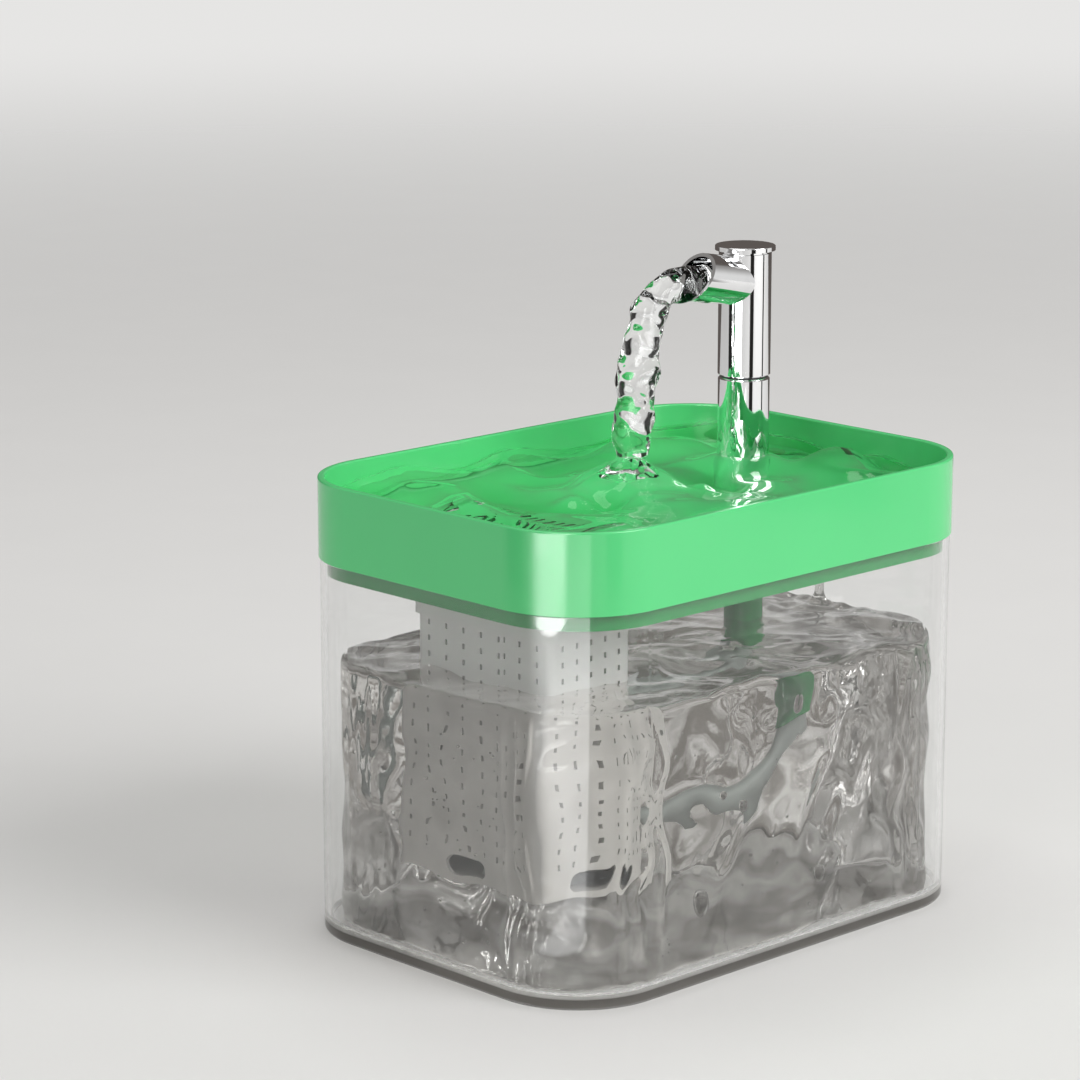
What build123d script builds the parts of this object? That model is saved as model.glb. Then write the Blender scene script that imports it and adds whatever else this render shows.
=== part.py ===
from build123d import *
import os
from math import cos, radians, sin

# Pet water fountain: a clear tank, a drinking tray on its rim, a swivelling faucet,
# a perforated filter box that hangs under the tray, and a submersible pump in it.
# Millimetres. +Z is up, X runs along the long side and the spout points to -X.
# The origin is the centre of the tank's underside.

# Clearances
seat_gap = 0.05          # under a piece that rests on another
push_gap = 0.05          # radial, in round push fits, seals, bushes and the swivel
slide_gap = 0.3          # beside a piece that lifts or slides
running_gap = 0.06       # radial, between the impeller and its shaft
spin_gap = 0.5           # round and beside the impeller and the rotor
cut_past = 1.0           # how far a cutting shape reaches past what it cuts

# Tank
tank_length = 189.0
tank_width = 135.2
tank_height = 123.75
tank_corner_radius = 31.4
tank_wall = 2.0
tank_floor = 4.0
tank_foot_round = 1.5
tank_inner_round = 2.5
tank_rim_round = 0.4

# Cable exit: a notch in the tank's short wall behind the faucet, with a grommet
cable_exit_inset = 43.6  # from the tank's long side to the notch's middle
notch_width = 9.0
notch_depth = 9.0
cable_hole = 4.4
grommet_lip = 1.5        # how far its inner flange covers the wall round the notch
grommet_flange = 1.2
grommet_outer_lip = 0.4

# Drinking tray
band_overhang = 0.5
band_height = 25.7
band_wall = 2.2
rim_round = 0.6
shelf_thickness = 2.2    # the shelf that lies on the tank's rim
lip_depth = 4.9          # how far the tray reaches down into the tank
lip_wall = 2.0
tray_floor = 2.2
basin_round = 2.0
channel_depth = 2.3      # cable channel in the lip
channel_cover = 2.0      # wall between the channel and the basin
return_hole = 4.0
return_spout = 7.0
return_spout_length = 3.0
return_inset = 10.5      # from the tank's short side
return_y = -2.0

# Faucet
column_inset = 46.0      # from the tank's short side to the faucet's axis
column_diameter = 17.0
column_height = 50.5
column_bevel = 0.6       # round the lower column's top edge
column_bore = 8.0
plug_diameter = 14.0
plug_depth = 10.0
neck_diameter = 13.0
neck_height = 10.0
plug_seal_count = 2
seal_width = 1.8
seal_chamfer = 0.5
joint_height = 0.7       # the ring between the lower column and the head
joint_diameter = 15.6
head_diameter = 17.3
head_height = 40.3
edge_break = 0.3
spout_diameter = 15.8
spout_wall = 1.2
spout_rise = 30.4        # from the head's foot up to the spout's axis
spout_tilt = 10.5        # degrees above level
spout_reach = 23.6
mouth_tilt = 34.0        # degrees that the cut mouth leans back
spigot_diameter = 12.3
spigot_wall = 1.4
spigot_shoulder = 2.5    # solid ring between the head and the spout's wide bore
cap_diameter = 19.8
cap_thickness = 1.6
cap_neck_diameter = 16.4
cap_neck_height = 0.8
cap_plug_depth = 2.5
cap_round = 0.4

# Socket and riser under the tray
socket_wall = 2.9
socket_stop = 1.0        # between the faucet's plug and the riser
socket_bore = 10.0       # through that stop
riser_diameter = 13.0
riser_grip = 9.0
riser_drop = 38.0        # how far it hangs below the socket

# Filter box
box_inset = 25.5         # from the tank's short side to the box
box_length = 36.0
box_width = 59.5
box_height = 81.0
box_wall = 1.6
box_corner_radius = 2.5
skirt_wall = 1.4         # the tray's skirt that plugs into the box's collar
skirt_depth = 10.0
snap_length = 14.0
snap_radius = 0.8
hole_width = 1.0
hole_height = 1.8
hole_pitch_x = 6.2
hole_pitch_y = 8.0
hole_pitch_z = 5.2
hole_side_margin = 3.4
hole_top_margin = 2.4
hole_foot_margin = 10.5
oval_length = 14.0
oval_height = 6.0
oval_foot = 5.0          # from the box's underside to the ovals' centres

# Filter cassette and strainer cover
cassette_margin = 0.9    # between the cassette and the box's inner face
cassette_wall = 1.2
cassette_depth = 26.0
flange_width = 2.0
flange_thickness = 1.0
ledge_depth = 1.2
carbon_height = 12.0
cotton_height = 9.0
cover_thickness = 1.6
cover_round = 0.5
cover_rim_depth = 1.2
slot_width = 2.0
slot_pitch = 5.0
slot_border = 6.0
slot_bridge = 4.0        # between the two columns of slots
thumb_radius = 5.0

# Pump
pump_length = 28.0       # along Y, without its front cover
pump_width = 28.0
pump_height = 30.0
pump_corner_radius = 4.0
chamber_diameter = 22.0
chamber_depth = 10.0
rotor_well_diameter = 11.4
rotor_well_depth = 14.0
shaft_diameter = 2.0
bush_diameter = 5.0
bush_length = 2.4
rotor_bore = 4.2
impeller_hub_diameter = 4.1
impeller_plate = 1.2
blade_thickness = 1.2
blade_height = 4.2
blade_count = 6
port_drop = 7.5          # outlet below the rotor's axis
nozzle_diameter = 7.0
nozzle_bore = 4.8
nozzle_seat = 4.0        # length inside the pump's wall
nozzle_reach = 9.0
nozzle_collar = 9.0
nozzle_collar_length = 1.0
pump_cover_thickness = 4.0
cover_spigot_depth = 1.5
cover_spigot_wall = 1.2
intake_width = 1.6
intake_height = 12.0
intake_pitch = 3.6
intake_clear = 4.4       # half-width kept solid round the front bush
rail_width = 1.2
rail_height = 2.2
rail_lip = 0.8
slider_width = 11.4
slider_height = 8.0
slider_thickness = 1.2
slider_travel = 7.0
slider_grip = 1.8
slider_rib = 1.2
cup_diameter = 9.0
cup_height = 4.0
cup_rim = 0.9            # the flat ring that a cup stands on
cup_hollow = 1.6         # how far its underside rises inside that ring
cup_neck = 4.7
cup_neck_height = 0.8
cup_stem = 3.6
cup_stem_length = 3.0
cup_inset = 7.0
gland_diameter = 9.0
gland_height = 6.5
gland_seat = 2.0
gland_inset = 6.5

# Hose
hose_diameter = 10.0
hose_grip = 8.0          # length inside the riser
hose_lead = 1.5          # straight run below the riser before the bend
hose_hole_gap = 0.5

# Places that follow from the sizes above
cable_exit_y = tank_width / 2 - cable_exit_inset
return_x = tank_length / 2 - return_inset
column_x = tank_length / 2 - column_inset
box_x = -tank_length / 2 + box_inset + box_length / 2

shelf_under = tank_height + seat_gap
shelf_top = shelf_under + shelf_thickness
band_top = shelf_under + band_height
tray_under = shelf_under - lip_depth
tray_top = tray_under + tray_floor
lip_inset = tank_wall + slide_gap
basin_inset = lip_inset + lip_wall

socket_diameter = plug_diameter + 2 * socket_wall
socket_top = tray_top - plug_depth - seat_gap - socket_stop
socket_bottom = socket_top - riser_grip
riser_bottom = socket_bottom - riser_drop

column_bottom = tray_top + seat_gap
column_top = column_bottom + column_height
head_bottom = column_top + joint_height
head_top = head_bottom + head_height
spout_z = head_bottom + spout_rise

skirt_inner_length = box_length - 2 * box_wall
skirt_inner_width = box_width - 2 * box_wall
skirt_bottom = tray_under - skirt_depth
collar_floor = skirt_bottom - seat_gap
collar_bottom = collar_floor - box_wall
collar_top = tray_under - seat_gap
box_bottom = collar_bottom - box_height
box_floor = box_bottom + box_wall
collar_length = skirt_inner_length + 2 * (skirt_wall + push_gap + box_wall)
collar_width = skirt_inner_width + 2 * (skirt_wall + push_gap + box_wall)

cassette_length = skirt_inner_length - 2 * cassette_margin
cassette_width = skirt_inner_width - 2 * cassette_margin
flange_length_x = cassette_length + 2 * flange_width
flange_length_y = cassette_width + 2 * flange_width
flange_bottom = tray_top - ledge_depth + seat_gap
flange_top = flange_bottom + flange_thickness
cassette_bottom = flange_top - cassette_depth

pump_bottom = box_floor + seat_gap + cup_height
axis_z = pump_bottom + pump_height / 2
front_y = chamber_depth / 2              # the pump's outlet is level with y = 0
back_y = front_y - pump_length
chamber_back = front_y - chamber_depth
well_back = chamber_back - rotor_well_depth
cover_front = front_y + seat_gap + pump_cover_thickness
port_z = axis_z - port_drop
pump_side = box_x + pump_width / 2

hose_bore = nozzle_diameter + 2 * push_gap
hose_start = pump_side + nozzle_collar_length + seat_gap
hose_end = riser_bottom + hose_grip
hose_bend = riser_bottom - hose_lead - port_z


def spread(count, pitch):
    """Centred places of a row."""
    return [(i - (count - 1) / 2) * pitch for i in range(count)]


def fitting(span, pitch):
    """How many places at this pitch a span takes."""
    return int(span / pitch) + 1


def block(length, width, radius, bottom, top, x=0.0, y=0.0):
    """An upright block with rounded corners, between two heights."""
    outline = Pos(x, y, bottom) * RectangleRounded(length, width, radius)
    return extrude(outline, amount=top - bottom)


def tank_block(inset, bottom, top):
    """A block with the tank's outline, drawn in by inset."""
    return block(tank_length - 2 * inset, tank_width - 2 * inset,
                 tank_corner_radius - inset, bottom, top)


def box_block(inset, bottom, top):
    """A block with the filter box's outline, drawn in by inset."""
    return block(box_length - 2 * inset, box_width - 2 * inset,
                 box_corner_radius - inset, bottom, top, box_x)


def rod(diameter, bottom, top, x=0.0, y=0.0):
    """An upright cylinder between two heights."""
    return extrude(Pos(x, y, bottom) * Circle(diameter / 2), amount=top - bottom)


def axle(diameter, start, end, x=None, z=None):
    """A cylinder along +Y, on the rotor's axis unless told otherwise."""
    place = Plane(origin=(box_x if x is None else x, start, axis_z if z is None else z),
                  x_dir=(1, 0, 0), z_dir=(0, 1, 0))
    return extrude(place * Circle(diameter / 2), amount=end - start)


def pipe_x(diameter, start, end, z, y=0.0):
    """A cylinder along +X."""
    place = Plane(origin=(start, y, z), x_dir=(0, 1, 0), z_dir=(1, 0, 0))
    return extrude(place * Circle(diameter / 2), amount=end - start)


def cuboid(x0, x1, y0, y1, z0, z1):
    """A plain box between its corners."""
    return Pos(x0, y0, z0) * Box(x1 - x0, y1 - y0, z1 - z0,
                                 align=(Align.MIN, Align.MIN, Align.MIN))


def round_foot(shape, radius):
    """Round the edges of the lowest face."""
    return fillet(shape.faces().sort_by(Axis.Z)[0].edges(), radius)


def round_top(shape, radius):
    """Round the edges of the highest face."""
    return fillet(shape.faces().sort_by(Axis.Z)[-1].edges(), radius)


# Tank

def notch(width, depth, x0, x1):
    """A round-bottomed notch through the short wall, open at the tank's rim."""
    half = width / 2
    centre_z = tank_height - depth + half
    low_y, high_y = cable_exit_y - half, cable_exit_y + half
    bar = pipe_x(width, x0, x1, centre_z, cable_exit_y)
    bar -= cuboid(x0, x1, low_y, high_y, tank_height, tank_height + width)
    return bar + cuboid(x0, x1, low_y, high_y, centre_z, tank_height)


def make_tank():
    shell = round_foot(tank_block(0, 0, tank_height), tank_foot_round)
    hollow = round_foot(tank_block(tank_wall, tank_floor, tank_height), tank_inner_round)
    tank = round_top(shell - hollow, min(tank_rim_round, tank_wall / 3))
    outside = tank_length / 2 + tank_wall
    return tank - notch(notch_width, notch_depth, outside - 3 * tank_wall, outside)


def make_grommet():
    wall_out = tank_length / 2
    wall_in = wall_out - tank_wall
    inner = notch(notch_width + 2 * grommet_lip, notch_depth + grommet_lip,
                  wall_in - push_gap - grommet_flange, wall_in - push_gap)
    body = notch(notch_width - 2 * push_gap, notch_depth - push_gap,
                 wall_in - push_gap, wall_out + grommet_outer_lip)
    hole_z = tank_height - notch_depth + notch_width / 2
    hole = pipe_x(cable_hole, wall_in - 2 * grommet_flange, wall_out + cut_past, hole_z, cable_exit_y)
    return inner + body - hole


# Drinking tray

def cable_channel():
    """Room in the tray's lip for the grommet's inner flange and the cable."""
    half = notch_width / 2 + grommet_lip + slide_gap
    lip_face = tank_length / 2 - lip_inset
    return cuboid(lip_face - channel_depth, lip_face + tank_wall, cable_exit_y - half,
                  cable_exit_y + half, tray_under - cut_past, shelf_under)


def channel_boss():
    """The wall between the cable channel and the basin."""
    half = notch_width / 2 + grommet_lip + slide_gap + channel_cover
    lip_face = tank_length / 2 - lip_inset
    return cuboid(lip_face - channel_depth - channel_cover, lip_face, cable_exit_y - half,
                  cable_exit_y + half, tray_under, shelf_top)


def snap_ribs(radius, length):
    """Ribs on the skirt's long faces, or the windows they snap into."""
    face = skirt_inner_length / 2 + skirt_wall
    middle = (skirt_bottom + tray_under) / 2
    ribs = [axle(2 * radius, -length / 2, length / 2, box_x + side * face, middle)
            for side in (-1, 1)]
    return ribs


def make_tray():
    tray = tank_block(-band_overhang, shelf_under, band_top)
    tray += tank_block(lip_inset, tray_under, shelf_under)
    upper = tank_block(band_wall - band_overhang, shelf_top, band_top)
    lower = round_foot(tank_block(basin_inset, tray_top, shelf_top), basin_round)
    tray -= upper
    tray -= lower
    tray = fillet(tray.edges().group_by(Axis.Z)[-1], min(rim_round, band_wall / 3))
    tray += channel_boss()
    tray -= cable_channel()

    skirt = block(skirt_inner_length + 2 * skirt_wall, skirt_inner_width + 2 * skirt_wall,
                  box_corner_radius, skirt_bottom, tray_under, box_x)
    skirt += snap_ribs(snap_radius, snap_length)
    skirt -= box_block(box_wall, skirt_bottom, tray_under)
    tray += skirt
    tray += rod(socket_diameter, socket_bottom, tray_under, column_x)
    tray += rod(return_spout, tray_under - return_spout_length, tray_under, return_x, return_y)

    opening = (cassette_length + 2 * slide_gap, cassette_width + 2 * slide_gap)
    tray -= block(*opening, box_corner_radius, skirt_bottom, tray_top, box_x)
    recess = (flange_length_x + 2 * slide_gap, flange_length_y + 2 * slide_gap)
    tray -= block(*recess, box_corner_radius, tray_top - ledge_depth, tray_top, box_x)
    tray -= rod(plug_diameter + 2 * push_gap, socket_top + socket_stop, tray_top, column_x)
    tray -= rod(socket_bore, socket_bottom, tray_top, column_x)
    tray -= rod(riser_diameter + 2 * push_gap, socket_bottom, socket_top, column_x)
    tray -= rod(return_hole, tray_under - return_spout_length, tray_top, return_x, return_y)
    return tray


# Faucet

def seal_groove(diameter, z):
    """A groove for a sealing ring, in a rod of this diameter."""
    low, high = z - seal_width / 2 - push_gap, z + seal_width / 2 + push_gap
    ring = rod(diameter + cut_past, low, high, column_x)
    return ring - rod(diameter - 2 * (seal_width + push_gap), low, high, column_x)


def seal_ring(diameter, z):
    """A square-cut sealing ring that lies level with a rod of this diameter."""
    low, high = z - seal_width / 2, z + seal_width / 2
    ring = rod(diameter, low, high, column_x)
    ring = chamfer(ring.edges().filter_by(GeomType.CIRCLE), min(seal_chamfer, seal_width / 3))
    return ring - rod(diameter - 2 * seal_width, low, high, column_x)


def plug_seal_heights():
    step = plug_depth / (plug_seal_count + 1)
    return [column_bottom - i * step for i in range(1, plug_seal_count + 1)]


def neck_seal_height():
    return head_bottom + (neck_height - joint_height) / 2


def make_column():
    shaft = rod(column_diameter, column_bottom, column_top, column_x)
    shaft = chamfer(shaft.faces().sort_by(Axis.Z)[-1].edges(), column_bevel)
    plug = rod(plug_diameter, column_bottom - plug_depth, column_bottom, column_x)
    plug = chamfer(plug.faces().sort_by(Axis.Z)[0].edges(), edge_break)
    column = shaft + plug + rod(neck_diameter, column_top, column_top + neck_height, column_x)
    for z in plug_seal_heights():
        column -= seal_groove(plug_diameter, z)
    column -= seal_groove(neck_diameter, neck_seal_height())
    return column - rod(column_bore, column_bottom - plug_depth,
                        column_top + neck_height, column_x)


def make_swivel_ring():
    ring = rod(joint_diameter, column_top + seat_gap, head_bottom - seat_gap, column_x)
    return ring - rod(neck_diameter + 2 * push_gap, column_top, head_bottom, column_x)


def spout_axis():
    """The plane whose normal is the spout's axis, at the head's axis."""
    tilt = radians(spout_tilt)
    return Plane(origin=(column_x, 0, spout_z), x_dir=(0, 1, 0),
                 z_dir=(-cos(tilt), 0, sin(tilt)))


def spout_rod(diameter, start, end):
    """A cylinder along the spout's axis, measured from the head's axis."""
    return extrude(spout_axis().offset(start) * Circle(diameter / 2), amount=end - start)


def mouth_plane():
    lean = radians(mouth_tilt)
    along = spout_reach / cos(radians(spout_tilt))
    centre = spout_axis().offset(along).origin
    return Plane(origin=centre, x_dir=(0, 1, 0), z_dir=(-cos(lean), 0, sin(lean)))


def make_head():
    head = rod(head_diameter, head_bottom, head_top, column_x)
    head = chamfer(head.faces().sort_by(Axis.Z)[0].edges(), edge_break)
    head -= rod(neck_diameter + 2 * push_gap, head_bottom, head_top, column_x)
    return head - spout_rod(spigot_diameter + 2 * push_gap, 0, head_diameter)


def make_spout():
    reach = spout_reach + spout_diameter
    tube = spout_rod(spout_diameter, 0, reach)
    tube -= rod(head_diameter + 2 * seat_gap, head_bottom, head_top + spout_diameter, column_x)
    tube = split(tube, bisect_by=mouth_plane(), keep=Keep.BOTTOM)
    tube += (spout_rod(spigot_diameter, 0, head_diameter / 2 + spigot_shoulder)
             - rod(neck_diameter + 2 * push_gap, head_bottom, head_top, column_x))
    tube -= spout_rod(spigot_diameter - 2 * spigot_wall, 0, reach)
    return tube - spout_rod(spout_diameter - 2 * spout_wall,
                            head_diameter / 2 + spigot_shoulder, reach)


def make_cap():
    neck_top = head_top + seat_gap + cap_neck_height
    disc = rod(cap_diameter, neck_top, neck_top + cap_thickness, column_x)
    disc = round_top(disc, min(cap_round, cap_thickness / 3))
    cap = disc + rod(cap_neck_diameter, head_top + seat_gap, neck_top, column_x)
    return cap + rod(neck_diameter, head_top - cap_plug_depth, neck_top, column_x)


def make_riser():
    riser = rod(riser_diameter, riser_bottom, socket_top - seat_gap, column_x)
    return riser - rod(hose_diameter + 2 * push_gap, riser_bottom, socket_top, column_x)


# Filter box

def wall_holes():
    """Slots through the four walls, in a centred grid."""
    top = collar_bottom - hole_top_margin
    rows = fitting(top - box_bottom - hole_foot_margin, hole_pitch_z)
    columns_x = fitting(box_length - 2 * hole_side_margin, hole_pitch_x)
    columns_y = fitting(box_width - 2 * hole_side_margin, hole_pitch_y)
    hose_reach = hose_diameter / 2 + hose_hole_gap + hole_height
    cuts = []
    for row in range(rows):
        z = top - row * hole_pitch_z
        low, high = z - hole_height / 2, z + hole_height / 2
        for x in spread(columns_x, hole_pitch_x):
            cuts.append(cuboid(box_x + x - hole_width / 2, box_x + x + hole_width / 2,
                               -box_width, box_width, low, high))
        for y in spread(columns_y, hole_pitch_y):
            beside_hose = abs(z - port_z) < hose_reach and abs(y) < hose_reach
            far = box_x if beside_hose else box_x + box_length
            cuts.append(cuboid(box_x - box_length, far,
                               y - hole_width / 2, y + hole_width / 2, low, high))
    return cuts


def ovals():
    """The wide openings near the foot of three walls."""
    z = box_bottom + oval_foot
    shape = SlotOverall(oval_length, oval_height)
    across = extrude(Plane(origin=(box_x, -box_width, z), x_dir=(1, 0, 0),
                           z_dir=(0, 1, 0)) * shape, amount=2 * box_width)
    along = extrude(Plane(origin=(box_x - box_length, 0, z), x_dir=(0, 1, 0),
                          z_dir=(1, 0, 0)) * shape, amount=box_length)
    return [across, along]


def make_filter_box():
    box = box_block(0, box_bottom, collar_bottom)
    collar = block(collar_length, collar_width, box_corner_radius + box_wall,
                   collar_bottom, collar_top, box_x)
    room = block(collar_length - 2 * box_wall, collar_width - 2 * box_wall,
                 box_corner_radius, collar_floor, collar_top, box_x)
    box += collar - room
    box -= box_block(box_wall, box_floor, collar_top)
    box -= snap_ribs(snap_radius + slide_gap, snap_length + 2 * slide_gap)
    box -= wall_holes() + ovals()
    return box - pipe_x(hose_diameter + 2 * hose_hole_gap, box_x, box_x + box_length, port_z)


# Filter cassette

def grid_slots(outline, length, width, bottom, top):
    """Two columns of long slots with this outline, in a floor of this size."""
    slot = (length - 2 * slot_border - slot_bridge) / 2
    rows = fitting(width - 2 * slot_border, slot_pitch)
    cuts = []
    for side in (-1, 1):
        x = box_x + side * (slot + slot_bridge) / 2
        for y in spread(rows, slot_pitch):
            cuts.append(extrude(Pos(x, y, bottom) * outline(slot, slot_width),
                                amount=top - bottom))
    return cuts


def make_cassette():
    cassette = block(cassette_length, cassette_width, box_corner_radius,
                     cassette_bottom, flange_top, box_x)
    cassette += block(flange_length_x, flange_length_y, box_corner_radius,
                      flange_bottom, flange_top, box_x)
    cassette -= block(cassette_length - 2 * cassette_wall, cassette_width - 2 * cassette_wall,
                      box_corner_radius - cassette_wall,
                      cassette_bottom + cassette_wall, flange_top, box_x)
    return cassette - grid_slots(Rectangle, cassette_length, cassette_width,
                                 cassette_bottom, cassette_bottom + cassette_wall)


def filter_layer(bottom, height):
    inset = cassette_wall + slide_gap
    return block(cassette_length - 2 * inset, cassette_width - 2 * inset,
                 box_corner_radius - cassette_wall, bottom, bottom + height, box_x)


def make_carbon():
    return filter_layer(cassette_bottom + cassette_wall + seat_gap, carbon_height)


def make_cotton():
    bottom = cassette_bottom + cassette_wall + 2 * seat_gap + carbon_height
    return filter_layer(bottom, cotton_height)


def make_strainer_cover():
    low = flange_top + seat_gap
    cover = block(flange_length_x, flange_length_y, box_corner_radius,
                  low, low + cover_thickness, box_x)
    cover = round_top(cover, min(cover_round, cover_thickness / 3))
    inset = 2 * (cassette_wall + slide_gap)
    rim = block(cassette_length - inset, cassette_width - inset,
                box_corner_radius - cassette_wall, low - cover_rim_depth, low, box_x)
    rim -= block(cassette_length - inset - 2 * cassette_wall,
                 cassette_width - inset - 2 * cassette_wall,
                 (box_corner_radius - cassette_wall) / 2, low - cover_rim_depth, low, box_x)
    cover += rim
    cover -= grid_slots(SlotOverall, cassette_length, cassette_width,
                        low - cover_rim_depth, low + cover_thickness)
    edge = flange_length_y / 2 + thumb_radius / 2
    return cover - rod(2 * thumb_radius, low, low + cover_thickness, box_x, edge)


# Pump

def pump_block(start, end, inset=0.0):
    """A rounded block with the pump's outline, along Y."""
    place = Plane(origin=(box_x, start, axis_z), x_dir=(1, 0, 0), z_dir=(0, 1, 0))
    outline = RectangleRounded(pump_width - 2 * inset, pump_height - 2 * inset,
                               pump_corner_radius - inset)
    return extrude(place * outline, amount=end - start)


def cup_places():
    half_x = pump_width / 2 - cup_inset
    middle = (front_y + back_y) / 2
    half_y = pump_length / 2 - cup_inset
    return [(box_x + sx * half_x, middle + sy * half_y) for sx in (-1, 1) for sy in (-1, 1)]


def gland_y():
    return back_y + gland_inset


def make_pump_body():
    body = pump_block(back_y, front_y)
    body -= axle(chamber_diameter, chamber_back, front_y)
    body -= axle(rotor_well_diameter, well_back, chamber_back)
    body -= axle(bush_diameter + 2 * push_gap, well_back - bush_length, well_back)
    body -= pipe_x(nozzle_bore, box_x, pump_side, port_z)
    body -= pipe_x(nozzle_diameter + 2 * push_gap, pump_side - nozzle_seat, pump_side, port_z)
    for x, y in cup_places():
        body -= rod(cup_stem + 2 * push_gap, pump_bottom, pump_bottom + cup_stem_length, x, y)
    top = pump_bottom + pump_height
    seat = gland_diameter - 2 * gland_seat + 2 * push_gap
    return body - rod(seat, top - gland_seat, top, box_x, gland_y())


def make_pump_nozzle():
    nozzle = pipe_x(nozzle_diameter, pump_side - nozzle_seat + seat_gap,
                    hose_start + nozzle_reach, port_z)
    collar_start = pump_side + seat_gap / 2
    nozzle += pipe_x(nozzle_collar, collar_start, collar_start + nozzle_collar_length, port_z)
    return nozzle - pipe_x(nozzle_bore, box_x, hose_start + nozzle_reach, port_z)


def slider_rest_z():
    return axis_z - intake_height / 2 - slider_height / 2 - slide_gap


def slider_rails():
    """Two lipped rails that hold the slider against the cover."""
    low = slider_rest_z() - slider_height / 2
    high = low + slider_height + slider_travel
    rails = []
    for side in (-1, 1):
        inner = box_x + side * (slider_width / 2 + slide_gap)
        outer = inner + side * rail_width
        tip = inner - side * rail_lip
        x0, x1 = sorted((inner, outer))
        rails.append(cuboid(x0, x1, cover_front, cover_front + rail_height, low, high))
        x0, x1 = sorted((tip, outer))
        lip_low = cover_front + slider_thickness + 2 * slide_gap
        rails.append(cuboid(x0, x1, lip_low, cover_front + rail_height, low, high))
    return rails


def make_pump_cover():
    start = front_y + seat_gap
    cover = pump_block(start, cover_front)
    spigot = axle(chamber_diameter - 2 * push_gap, start - cover_spigot_depth, start)
    cover += spigot - axle(chamber_diameter - 2 * push_gap - 2 * cover_spigot_wall,
                           start - cover_spigot_depth, start)
    count = fitting(chamber_diameter / 2, intake_pitch)
    for x in spread(count, intake_pitch):
        if abs(x) >= intake_pitch / 4:
            half = intake_width / 2
            cover -= cuboid(box_x + x - half, box_x + x + half, start, cover_front,
                            axis_z - intake_height / 2, axis_z + intake_height / 2)
    cover += slider_rails()
    boss = axle(bush_diameter + 2 * cover_spigot_wall, start, cover_front)
    cover += boss
    return cover - axle(bush_diameter + 2 * push_gap, start, start + bush_length)


def make_flow_slider():
    start = cover_front + slide_gap / 2
    z = slider_rest_z()
    plate = cuboid(box_x - slider_width / 2, box_x + slider_width / 2, start,
                   start + slider_thickness, z - slider_height / 2, z + slider_height / 2)
    grip_half = slider_width / 4
    for dz in spread(2, slider_height / 3):
        plate += cuboid(box_x - grip_half, box_x + grip_half, start,
                        start + slider_thickness + slider_grip,
                        z + dz - slider_rib / 2, z + dz + slider_rib / 2)
    return plate


def make_shaft():
    return axle(shaft_diameter, well_back - bush_length + seat_gap,
                front_y + seat_gap + bush_length - seat_gap)


def make_bushes():
    bore = shaft_diameter + 2 * push_gap
    back = (axle(bush_diameter, well_back - bush_length + seat_gap / 2, well_back)
            - axle(bore, well_back - bush_length, well_back))
    start = front_y + seat_gap
    front = (axle(bush_diameter, start, start + bush_length - seat_gap / 2)
             - axle(bore, start, start + bush_length))
    return [back, front]


def rotor_start():
    return well_back + spin_gap


def plate_start():
    return chamber_back + spin_gap


def make_rotor_magnet():
    magnet = axle(rotor_well_diameter - 2 * spin_gap, rotor_start() + seat_gap,
                  plate_start() - seat_gap)
    return magnet - axle(rotor_bore, rotor_start(), plate_start())


def make_impeller():
    hub = axle(impeller_hub_diameter, rotor_start(), plate_start())
    radius = chamber_diameter / 2 - cover_spigot_wall - 2 * spin_gap
    plate = axle(2 * radius, plate_start(), plate_start() + impeller_plate)
    blades_start = plate_start() + impeller_plate
    impeller = hub + plate + axle(impeller_hub_diameter, blades_start,
                                  blades_start + blade_height)
    place = Plane(origin=(box_x, blades_start, axis_z), x_dir=(1, 0, 0), z_dir=(0, 1, 0))
    inner = impeller_hub_diameter / 4
    for i in range(blade_count):
        blade = Pos((inner + radius) / 2, 0) * Rectangle(radius - inner, blade_thickness)
        blade = Rot(0, 0, i * 360 / blade_count) * blade
        impeller += extrude(place * blade, amount=blade_height)
    bore = shaft_diameter + 2 * running_gap
    return impeller - axle(bore, rotor_start(), blades_start + blade_height)


def make_suction_cups():
    """Soft cups under the pump, each with its stem in the pump's foot."""
    low = pump_bottom - cup_height
    seat = pump_bottom - seat_gap
    tip = seat + cup_stem_length
    rim, neck, stem = cup_diameter / 2, cup_neck / 2, cup_stem / 2
    profile = Polyline((0, low + cup_hollow), (rim - cup_rim, low), (rim, low),
                       (neck, seat - cup_neck_height), (neck, seat), (stem, seat),
                       (stem, tip), (0, tip), close=True)
    cup = revolve(Plane.XZ * make_face(profile), Axis.Z)
    return [Pos(x, y, 0) * cup for x, y in cup_places()]


def make_cable_gland():
    """The sleeve that the pump's cable enters by."""
    top = pump_bottom + pump_height
    r = gland_diameter / 2
    seat = r - gland_seat
    hole = cable_hole / 2
    profile = Polyline((hole, top - gland_seat + seat_gap), (seat, top - gland_seat + seat_gap),
                       (seat, top + seat_gap), (r, top + seat_gap), (r, top + gland_height / 4),
                       (hole + (r - hole) / 2, top + gland_height),
                       (hole, top + gland_height), close=True)
    gland = revolve(Plane.XZ * make_face(profile), Axis.Z)
    return Pos(box_x, gland_y(), 0) * gland


def make_hose():
    """From the pump's nozzle through the box's wall, and up into the riser."""
    line = FilletPolyline((hose_start, 0, port_z), (column_x, 0, port_z),
                          (column_x, 0, hose_end), radius=hose_bend)
    start = Plane(origin=(hose_start, 0, port_z), x_dir=(0, 1, 0), z_dir=(1, 0, 0))
    tube = sweep(start * Circle(hose_diameter / 2), path=line)
    return tube - sweep(start * Circle(hose_bore / 2), path=line)


def write(name, shape):
    """Write one node, with every solid in it."""
    shapes = shape if isinstance(shape, list) else [shape]
    solids = [solid for piece in shapes for solid in piece.solids()]
    whole = solids[0] if len(solids) == 1 else Compound(children=solids)
    whole.label = name
    export_step(whole, f"parts/{name}.step")


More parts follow.
